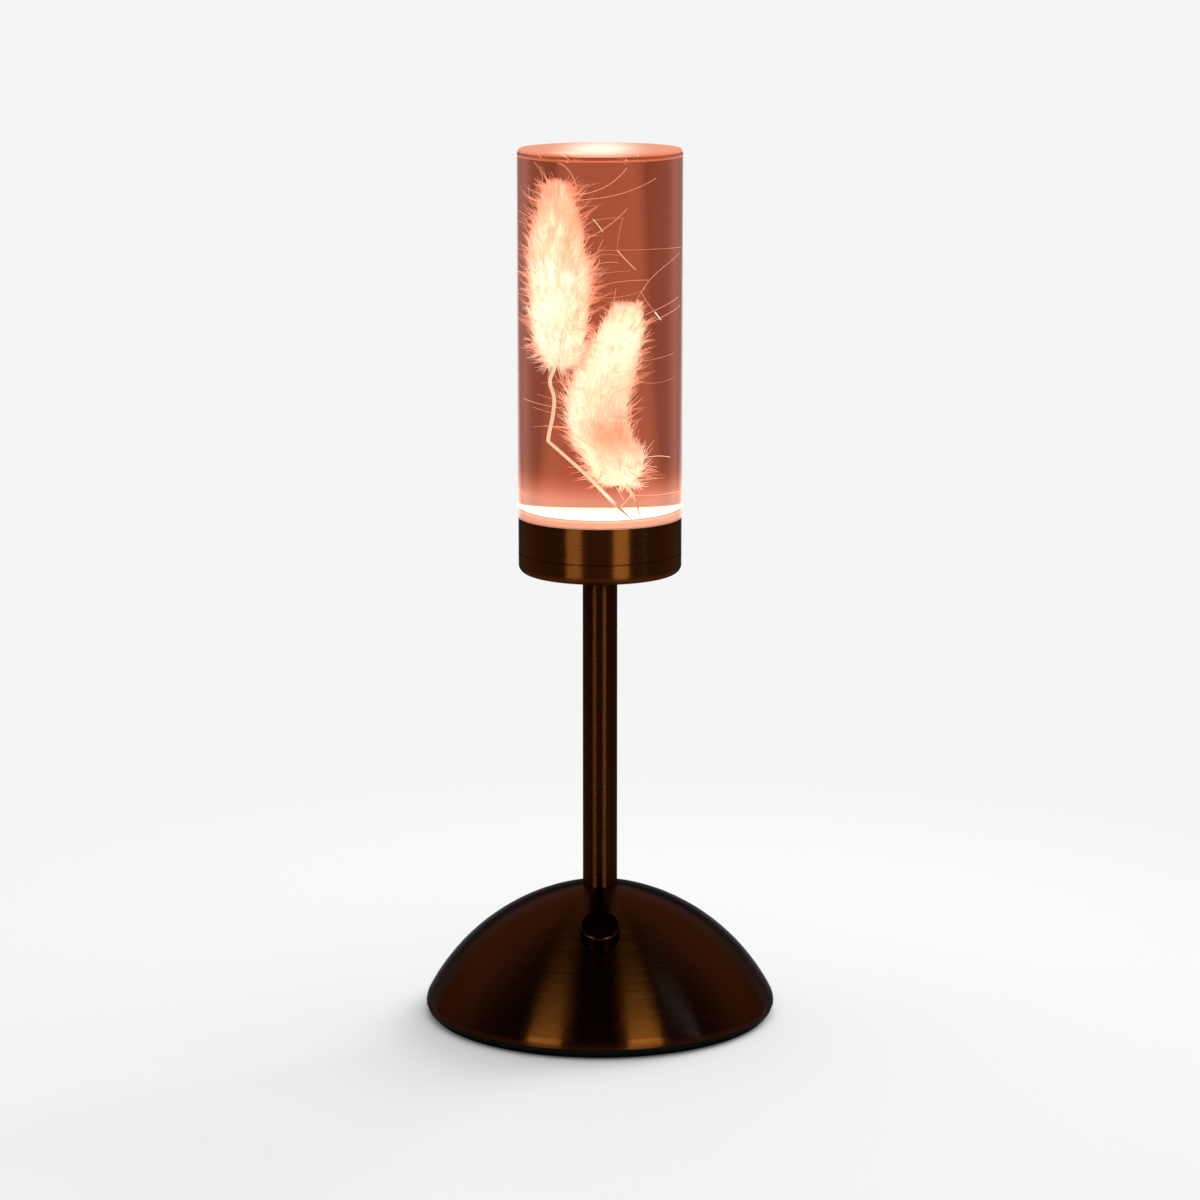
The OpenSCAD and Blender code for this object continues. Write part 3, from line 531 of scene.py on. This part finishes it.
# Long bristles: half width in mm, depth, then the points each one passes
BRISTLES = {
    "upper": [
        (0.10, -8, (558, 163), (570, 172), (577, 190)), (0.07, -3, (534, 162), (541, 173), (543, 186)),
        (0.06, -6, (551, 172), (553, 176), (556, 183)), (0.06, -2, (569, 176), (566, 184), (563, 190)),
        (0.06, -4, (529, 185), (530, 200), (537, 214)), (0.11, -9, (572, 195), (603, 188), (627, 168)),
        (0.09, -10, (577, 200), (620, 194), (656, 178)), (0.06, -8, (580, 208), (589, 206), (597, 206)),
        (0.10, -11, (580, 241), (604, 229), (627, 209)), (0.07, -11, (580, 234), (594, 221), (623, 218)),
        (0.15, -13, (593, 219), (598, 225), (603, 232)), (0.05, -9, (623, 218), (619, 235), (617, 249)),
        (0.14, -10, (617, 250), (626, 260), (636, 270)),
        (0.06, -7, (598, 250), (630, 250), (681, 247)), (0.08, -7, (590, 262), (597, 252), (603, 239)),
        (0.12, -9, (590, 272), (596, 268), (600, 259)), (0.10, -9, (592, 270), (602, 263), (619, 263)),
        (0.08, -5, (592, 262), (602, 255), (620, 256)), (0.06, -8, (592, 277), (606, 273), (630, 271)),
        (0.09, -9, (593, 292), (612, 283), (648, 280)), (0.07, -7, (591, 297), (620, 297), (645, 289)),
        (0.07, -2, (518, 211), (528, 216), (536, 225)), (0.06, -2, (518, 221), (526, 224), (534, 230)),
        (0.06, -2, (518, 249), (526, 252), (532, 263)), (0.06, -2, (519, 263), (525, 270), (533, 276)),
        (0.06, -2, (518, 293), (527, 296), (534, 299)), (0.07, -3, (519, 312), (526, 318), (535, 322)),
        (0.06, -3, (523, 340), (531, 340), (540, 346)), (0.06, -4, (526, 350), (535, 352), (545, 357))],
    "lower": [
        (0.07, -3, (642, 291), (660, 270), (680, 252)), (0.06, -2, (641, 292), (650, 306), (661, 320)),
        (0.18, -4, (655, 312), (658, 316), (661, 320)), (0.08, -1, (645, 315), (662, 307), (678, 297)),
        (0.09, 0, (641, 328), (660, 318), (680, 305)), (0.06, 0, (634, 305), (640, 294), (645, 287)),
        (0.07, 1, (612, 312), (614, 300), (616, 288)), (0.06, 2, (640, 345), (646, 338), (651, 329)),
        (0.07, 1, (637, 362), (655, 359), (674, 353)), (0.08, 0, (638, 358), (644, 355), (650, 352)),
        (0.05, 2, (636, 380), (655, 383), (676, 376)), (0.06, 2, (631, 418), (637, 413), (643, 408)),
        (0.06, 1, (629, 426), (634, 432), (638, 421)), (0.06, 2, (632, 440), (636, 438), (639, 429)),
        (0.13, -2, (645, 458), (657, 456), (670, 457)), (0.10, -1, (643, 464), (650, 466), (657, 467)),
        (0.08, 0, (570, 409), (549, 406), (523, 398)), (0.07, 1, (569, 416), (556, 414), (533, 407)),
        (0.06, 1, (568, 404), (556, 400), (537, 394)), (0.06, 1, (568, 427), (552, 426), (533, 427)),
        (0.05, 2, (576, 378), (566, 381), (541, 383)), (0.05, 2, (571, 390), (562, 385), (555, 375)),
        (0.07, -6, (614, 484), (619, 492), (624, 500)), (0.07, -8, (632, 492), (627, 500), (621, 506)),
        (0.05, -4, (634, 495), (655, 495), (679, 491)), (0.05, -4, (590, 474), (580, 472), (571, 474))],
}


def head_shape(head):
    """Middle points, half widths and shares of the height of a head's levels."""
    left = np.array([seen(a, v, head["depth"]) for v, a, _ in head["levels"]])
    right = np.array([seen(b, v, head["depth"]) for v, _, b in head["levels"]])
    middle = (left + right) / 2
    share = (middle[:, 2] - middle[0, 2]) / (middle[-1, 2] - middle[0, 2])
    return middle, np.linalg.norm(right - left, axis=1) / 2, share


SHAPES = {name: head_shape(head) for name, head in HEADS.items()}


def spine(name, t):
    """Points on a head's middle line; t runs from its foot to its tip."""
    middle, _, share = SHAPES[name]
    return np.stack([np.interp(t, share, middle[:, k]) for k in range(3)], axis=-1)


def half_width(name, t):
    _, half, share = SHAPES[name]
    return np.interp(t, share, half)


def head_surface(name, t, angle, fill):
    """Points at a share of a head's width, their outward directions and the way to its tip."""
    low = np.clip(t - 0.03, 0, 1)
    high = np.clip(t + 0.03, 0, 1)
    ahead = spine(name, high) - spine(name, low)
    along = ahead / np.linalg.norm(ahead, axis=-1, keepdims=True)
    radius = half_width(name, t) * fill
    slope = (half_width(name, high) - half_width(name, low)) / np.maximum(ahead[..., 2], 0.1)
    around = np.stack([np.cos(angle), np.sin(angle), np.zeros_like(angle)], axis=-1)
    out = around - slope[..., None] * np.array((0.0, 0.0, 1.0))
    out /= np.linalg.norm(out, axis=-1, keepdims=True)
    return spine(name, t) + radius[..., None] * around, out, along


def to_frame(points):
    return np.asarray(points) * MM + np.array((0.0, 0.0, resin_z0))


def strands(roots, bends, tips, root_r, tip_r, sides, steps):
    """Points and faces of thin closed strands, each on a bent line from root to tip."""
    t = np.linspace(0, 1, steps + 1)[None, :, None]
    lines = (1 - t) ** 2 * roots[:, None] + 2 * t * (1 - t) * bends[:, None] + t ** 2 * tips[:, None]
    way = tips - roots
    way /= np.linalg.norm(way, axis=1, keepdims=True)
    across = np.cross(way, np.array((0.31, 0.67, 0.12)))
    across /= np.linalg.norm(across, axis=1, keepdims=True)
    third = np.cross(way, across)
    radii = root_r[:, None] * (1 - t[..., 0]) + tip_r[:, None] * t[..., 0]
    turns = 2 * np.pi * np.arange(sides) / sides
    ring = np.cos(turns)[None, :, None] * across[:, None] + np.sin(turns)[None, :, None] * third[:, None]
    points = (lines[:, :, None] + radii[..., None, None] * ring[:, None]).reshape(-1, 3)
    faces = []
    count = (steps + 1) * sides
    for n in range(len(roots)):
        base = n * count
        for s in range(steps):
            for k in range(sides):
                a = base + s * sides + k
                b = base + s * sides + (k + 1) % sides
                faces.append((a, b, b + sides, a + sides))
        faces.append(tuple(base + k for k in reversed(range(sides))))
        faces.append(tuple(base + steps * sides + k for k in range(sides)))
    return points, faces


def inside_resin(tips, roots):
    """Draw in the tips that would pass the resin's side, its top or the diffuser."""
    wall = resin_r / MM - 0.7
    roof = (resin_z1 - resin_z0) / MM - 0.8
    ground = (diffuser_top - resin_z0) / MM + 0.8
    share = np.ones(len(tips))
    for trial in np.linspace(1.0, 0.05, 60):
        p = roots + (tips - roots) * share[:, None]
        bad = (np.hypot(p[:, 0], p[:, 1]) > wall) | (p[:, 2] > roof) | (p[:, 2] < ground)
        share[bad] = trial
    return roots + (tips - roots) * share[:, None]


PATCHES = (16, 26)
MOTTLE = {"upper": rng.normal(-0.05, 0.30, PATCHES), "lower": rng.normal(0.0, 0.08, PATCHES)}


def head_glow(name, t, angle):
    """Painted glow: bright near the foot and dimmer towards the tip, with painted shade at the back; the
    lower head has painted rosy shade in its core.
    """
    # Painted shade on the back of each head
    back = 0.5 * np.clip(np.sin(angle) - 0.2, 0, 1)
    if name == "upper":
        return 1.0 - 0.9 * np.clip((t - 0.25) / 0.7, 0, 1) - back
    tone = 1.0 - 0.5 * np.clip((t - 0.85) / 0.15, 0, 1) - back
    # Painted rosy shade in the front right of the lower head's core
    front = np.clip(np.cos(angle + 1.05), 0, 1)
    core = np.exp(-((t - 0.25) / 0.14) ** 2) + 0.45 * np.exp(-((t - 0.5) / 0.14) ** 2)
    return tone - core * front


def mottle(name, t, angle):
    """Uneven tone: long patches, lighter and darker by chance, over the skin of a head."""
    patches = MOTTLE[name]
    rows, columns = patches.shape
    row = np.clip(t * rows, 0, rows - 1).astype(int)
    column = np.floor(angle / (2 * np.pi) * columns).astype(int) % columns
    return patches[row, column]


def hair(name, head_name, roots, bends, tips, root_r, tip_r, sides, steps, tone):
    points, faces = strands(roots, bends, tips, root_r, tip_r, sides, steps)
    obj = mesh_object(name, to_frame(points), faces, GRASS[head_name])
    tones = np.repeat(np.clip(tone, 0, 1), (steps + 1) * sides).astype(np.float32)
    # The tone attribute sets the painted glow of each hair
    obj.data.attributes.new("tone", "FLOAT", "POINT").data.foreach_set("value", tones)
    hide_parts(head_name + "_tail")


def grass_body(name):
    """The head's soft body, a little slimmer than its down."""
    sides = 32
    steps = 60
    fill = 0.80
    angles = 2 * np.pi * np.arange(sides) / sides
    points = []
    tones = []
    for value in np.linspace(0.0, 1.0, steps):
        level = np.full(sides, value)
        swell = 1 + 0.04 * np.sin(3 * angles + 9 * value) + 0.03 * np.sin(7 * angles - 21 * value)
        ring, _, _ = head_surface(name, level, angles, fill * swell)
        points.extend(ring)
        tones.extend(head_glow(name, level, angles) + mottle(name, level, angles))
    faces = []
    for i in range(steps - 1):
        for k in range(sides):
            a = i * sides + k
            b = i * sides + (k + 1) % sides
            faces.append((a, b, b + sides, a + sides))
    faces.append(tuple(reversed(range(sides))))
    faces.append(tuple((steps - 1) * sides + k for k in range(sides)))
    obj = mesh_object(name + "_head", to_frame(points), faces, GRASS[name])
    tones = np.clip(tones, 0, 1).astype(np.float32)
    # The tone attribute sets the painted glow over the head
    obj.data.attributes.new("tone", "FLOAT", "POINT").data.foreach_set("value", tones)
    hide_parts(name + "_tail")


def grass_stalk(name):
    """The stalk, with one sharp bend where it is broken over."""
    places = to_frame([seen(*point) for point in STALKS[name]])
    curve = bpy.data.curves.new(name + "_stalk", "CURVE")
    curve.dimensions = "3D"
    curve.bevel_depth = STALK_R[name] * MM
    curve.bevel_resolution = 3
    curve.use_fill_caps = True
    line = curve.splines.new("BEZIER")
    line.bezier_points.add(len(places) - 1)
    for k, (knot, place) in enumerate(zip(line.bezier_points, places)):
        knot.co = place
        knot.radius = 0.45 if k == len(places) - 1 else 1.0
        handle = "VECTOR" if k == SHARP[name] else "AUTO"
        knot.handle_left_type = handle
        knot.handle_right_type = handle
    curve.materials.append(SLOTS["dried_grass"])
    obj = bpy.data.objects.new(name + "_stalk", curve)
    bpy.context.scene.collection.objects.link(obj)
    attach(obj, "lamp")
    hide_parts(name + "_tail")


# Down: hairs on each head, their radii at root and tip in mm, where they root and how far tone varies
DOWN_COUNT = 5200
DOWN_R = (0.10, 0.03)
DOWN_FILL = 0.78
DOWN_SPREAD = {"upper": 0.20, "lower": 0.07}


def grass_down(name):
    """Fine down that lies along the head and makes its streaks."""
    count = DOWN_COUNT
    t = rng.uniform(0.0, 0.97, count)
    angle = rng.uniform(0, 2 * np.pi, count)
    roots, out, along = head_surface(name, t, angle, DOWN_FILL)
    lift = rng.uniform(0.04, 0.34, count)[:, None] + 0.5 * np.clip(0.10 - t, 0, 0.1)[:, None] / 0.1
    way = out * lift + along * rng.uniform(0.5, 1.0, count)[:, None] + rng.normal(0, 0.10, (count, 3))
    way /= np.linalg.norm(way, axis=1, keepdims=True)
    length = rng.uniform(2.6, 6.0, count) * (1 - 0.55 * np.clip((t - 0.6) / 0.4, 0, 1))
    tips = inside_resin(roots + way * length[:, None], roots)
    bends = (roots + tips) / 2 + out * 0.05 * length[:, None]
    patch = mottle(name, t + rng.normal(0, 0.02, count), angle + rng.normal(0, 0.05, count))
    tone = head_glow(name, t, angle) + patch + rng.normal(-0.04, DOWN_SPREAD[name], count)
    root_r, tip_r = (np.full(count, r) for r in DOWN_R)
    hair(name + "_down", name, roots, bends, tips, root_r, tip_r, 3, 3, tone)


# Tufts of each head: their count, and their least and greatest length in mm
TUFTS = {"upper": (340, 2.2, 9.0), "lower": (230, 1.8, 6.6)}
HAIRS_PER_TUFT = 6
TUFT_R = (0.065, 0.02)
TUFT_FILL = 0.84


def grass_tufts(name):
    """Short tufts at the edge: hairs that start apart and meet at a point, curved up to the tip."""
    tufts, least, most = TUFTS[name]
    per_tuft = HAIRS_PER_TUFT
    count = tufts * per_tuft
    t = np.repeat(rng.uniform(0.0, 0.97, tufts), per_tuft)
    angle = np.repeat(rng.uniform(0, 2 * np.pi, tufts), per_tuft)
    t_root = np.clip(t + rng.normal(0, 0.012, count), 0.0, 0.99)
    roots, _, _ = head_surface(name, t_root, angle + rng.normal(0, 0.12, count), TUFT_FILL)
    heart, out, along = head_surface(name, t, angle, TUFT_FILL)
    rise = np.repeat(rng.uniform(0.0, 0.9, tufts), per_tuft)[:, None]
    rise = np.where(t[:, None] < 0.12, rise - 0.8, rise)
    drift = np.repeat(rng.normal(0, 0.16, (tufts, 3)), per_tuft, axis=0)
    way = out + along * rise + drift
    way /= np.linalg.norm(way, axis=1, keepdims=True)
    tuft_length = least + (most - least) * rng.beta(1.5, 2.6, tufts)
    length = np.repeat(tuft_length, per_tuft) * rng.uniform(0.55, 1.1, count)
    tips = inside_resin(heart + way * length[:, None] + rng.normal(0, 0.3, (count, 3)), roots)
    bends = (roots + tips) / 2 + (out - along * 0.6) * 0.12 * length[:, None]
    # Painted glow of the tufts: dim, brighter near the head's foot
    tone = np.repeat(rng.uniform(0.0, 0.2, tufts), per_tuft) + 0.6 * np.clip(0.12 - t, 0, 0.06) / 0.06
    root_r, tip_r = (np.full(count, r) for r in TUFT_R)
    hair(name + "_tufts", name, roots, bends, tips, root_r, tip_r, 3, 4, tone)


def grass_bristles(name):
    """Long single bristles, each through the points read for it."""
    rows = BRISTLES[name]
    ends = [[seen(*point, row[1]) for point in row[2:]] for row in rows]
    roots, middles, tips = (np.array([end[k] for end in ends]) for k in range(3))
    bends = 2 * middles - (roots + tips) / 2
    root_r = np.array([row[0] for row in rows])
    # Painted glow of the bristles: brighter on the thicker ones
    tone = np.clip(6 * (root_r - 0.05), 0.1, 0.9)
    hair(name + "_bristles", name, roots, bends, tips, root_r, root_r * 0.7, 5, 10, tone)


resin_column()
for name in HEADS:
    grass_body(name)
    grass_stalk(name)
    grass_down(name)
    grass_tufts(name)
    grass_bristles(name)


# Stage: pale floor, soft lamps and the camera

# Levels of the floor as metal and resin mirror it, and the share of it that lamps light near the part
FLOOR_DIM = 0.33
SIDE_DIM = 0.58
FRONT_DIM = 0.4
SHADOW_SHARE = 0.9
FLOOR_PAINT = (0.9, 0.9, 0.9)
FLOOR_HALF = 9.0
# The wedge of floor in the picture opens from a point in front of the lamp, with soft sides
WEDGE_START = 1.3
WEDGE_LEAST = 0.3
WEDGE_SLOPES = (0.18, 0.36)
# Where the levels change: degrees from straight behind, then distances in metres
SIDE_INNER = (42, 52)
SIDE_OUTER = (64, 76)
FRONT_FADE = (-0.75, -0.25)
SHADOW_FADE = (0.13, 0.34)


def floor():
    """Even pale floor; metal and resin mirror it dimmer to the front, the sides and the back corners."""
    size = FLOOR_HALF
    mesh = bpy.data.meshes.new("floor")
    corners = [(-size, -size, 0), (size, -size, 0), (size, size, 0), (-size, size, 0)]
    mesh.from_pydata(corners, [], [(0, 1, 2, 3)])
    obj = bpy.data.objects.new("floor", mesh)
    bpy.context.scene.collection.objects.link(obj)
    material = bpy.data.materials.new("floor")
    material.use_nodes = True
    tree = material.node_tree
    tree.nodes.clear()
    place = object_place(tree)
    length = add(tree, "ShaderNodeVectorMath", operation="LENGTH")
    feed(tree, length.inputs[0], place)
    axes = add(tree, "ShaderNodeSeparateXYZ")
    feed(tree, axes.inputs[0], place)
    x, y, _ = axes.outputs
    ahead = math_node(tree, "MAXIMUM", math_node(tree, "ADD", y, WEDGE_START), WEDGE_LEAST)
    slope = math_node(tree, "DIVIDE", math_node(tree, "ABSOLUTE", x), ahead)
    pictured = ramp(tree, slope, *WEDGE_SLOPES, 1.0, 0.0)
    azimuth = math_node(tree, "ABSOLUTE", math_node(tree, "ARCTAN2", x, y))
    inner = ramp(tree, azimuth, *map(math.radians, SIDE_INNER), FLOOR_DIM, SIDE_DIM)
    outer = ramp(tree, azimuth, *map(math.radians, SIDE_OUTER), SIDE_DIM, FLOOR_DIM)
    side = math_node(tree, "MINIMUM", inner, outer)
    front = ramp(tree, y, *FRONT_FADE, FRONT_DIM, 1.0)
    level = math_node(tree, "MULTIPLY", math_node(tree, "MAXIMUM", pictured, side), front)
    far = ramp(tree, length.outputs["Value"], *SHADOW_FADE, 1 - SHADOW_SHARE, 1.0)
    near_shader = add(tree, "ShaderNodeBsdfDiffuse")
    near_shader.inputs["Color"].default_value = (*FLOOR_PAINT, 1)
    far_shader = add(tree, "ShaderNodeEmission")
    far_shader.inputs["Color"].default_value = (*PALE, 1)
    direct = add(tree, "ShaderNodeLightPath").outputs["Is Camera Ray"]
    feed(tree, far_shader.inputs["Strength"], math_node(tree, "MAXIMUM", level, direct))
    blend = add(tree, "ShaderNodeMixShader")
    feed(tree, blend.inputs[0], far)
    tree.links.new(near_shader.outputs[0], blend.inputs[1])
    tree.links.new(far_shader.outputs[0], blend.inputs[2])
    output = add(tree, "ShaderNodeOutputMaterial")
    tree.links.new(blend.outputs[0], output.inputs["Surface"])
    mesh.materials.append(material)


LIGHT_TARGET = Vector((0, 0, 0.12))


def panel(name, place, width, height, radiance, colour, gloss):
    """A soft lamp aimed at the lamp's stem, seen either by gloss alone or by matt surfaces alone."""
    lamp = bpy.data.lights.new(name, "AREA")
    lamp.shape = "RECTANGLE"
    lamp.size = width
    lamp.size_y = height
    lamp.energy = radiance * math.pi * width * height
    lamp.color = colour
    obj = bpy.data.objects.new(name, lamp)
    obj.location = place
    obj.rotation_euler = (LIGHT_TARGET - obj.location).to_track_quat("-Z", "Y").to_euler()
    obj.visible_camera = False
    obj.visible_glossy = gloss
    obj.visible_transmission = False
    obj.visible_diffuse = not gloss
    bpy.context.scene.collection.objects.link(obj)


def around(azimuth, distance, height):
    """A place round the lamp; azimuth 0 is towards the camera."""
    a = math.radians(azimuth)
    return Vector((distance * math.sin(a), -distance * math.cos(a), height))


def world():
    """Soft grey round the lamp: bright behind it, dark in front, overhead and near the floor."""
    place = bpy.data.worlds.new("studio")
    bpy.context.scene.world = place
    place.use_nodes = True
    tree = place.node_tree
    axes = add(tree, "ShaderNodeSeparateXYZ")
    feed(tree, axes.inputs[0], add(tree, "ShaderNodeTexCoord").outputs["Generated"])
    _, y, z = axes.outputs
    back = ramp(tree, y, -0.25, 0.75, 0.03, 1.0)
    low = ramp(tree, z, 0.05, 0.4, 0.3, 1.0)
    high = ramp(tree, z, 0.75, 0.97, 1.0, 0.2)
    level = math_node(tree, "MULTIPLY", back, math_node(tree, "MULTIPLY", low, high))
    tree.nodes["Background"].inputs["Color"].default_value = (1, 1, 1, 1)
    feed(tree, tree.nodes["Background"].inputs["Strength"], level)


def camera():
    data = bpy.data.cameras.new("camera")
    data.lens = CAMERA_LENS
    data.sensor_width = CAMERA_SENSOR
    data.clip_end = 50
    obj = bpy.data.objects.new("camera", data)
    obj.location = CAMERA_PLACE
    obj.rotation_euler = (math.pi / 2 - CAMERA_PITCH, 0, 0)
    bpy.context.scene.collection.objects.link(obj)
    bpy.context.scene.camera = obj


LAMP = (0.75, 1.0, 0.70)
COOL = (0.08, 0.26, 1.0)
PLAIN = (1.0, 1.0, 1.0)
LAMP_REACH = 1.6
floor()
# The first five make the stripes on the dark bronze, and the last two light what is matt. Each has its
# place, width, height, brightness and colour.
panel("left_low", around(-37, LAMP_REACH, 0.52), 0.62, 0.5, 22.0, LAMP, True)
panel("left_high", around(-37, LAMP_REACH, 1.4), 0.62, 1.2, 2.4, LAMP, True)
panel("right_low", around(30, LAMP_REACH, 0.52), 0.62, 0.5, 28.0, LAMP, True)
panel("right_high", around(30, LAMP_REACH, 1.4), 0.62, 1.2, 3.0, LAMP, True)
panel("cool_strip", around(67, LAMP_REACH, 1.1), 0.03, 1.6, 80.0, COOL, True)
panel("overhead", Vector((0.15, 0.2, 2.0)), 2.4, 2.4, 1.62, PLAIN, False)
panel("key", Vector((2.0, 2.4, 2.0)), 2.0, 1.4, 8.0, PLAIN, False)
world()
camera()
bpy.context.scene.view_settings.view_transform = "Standard"
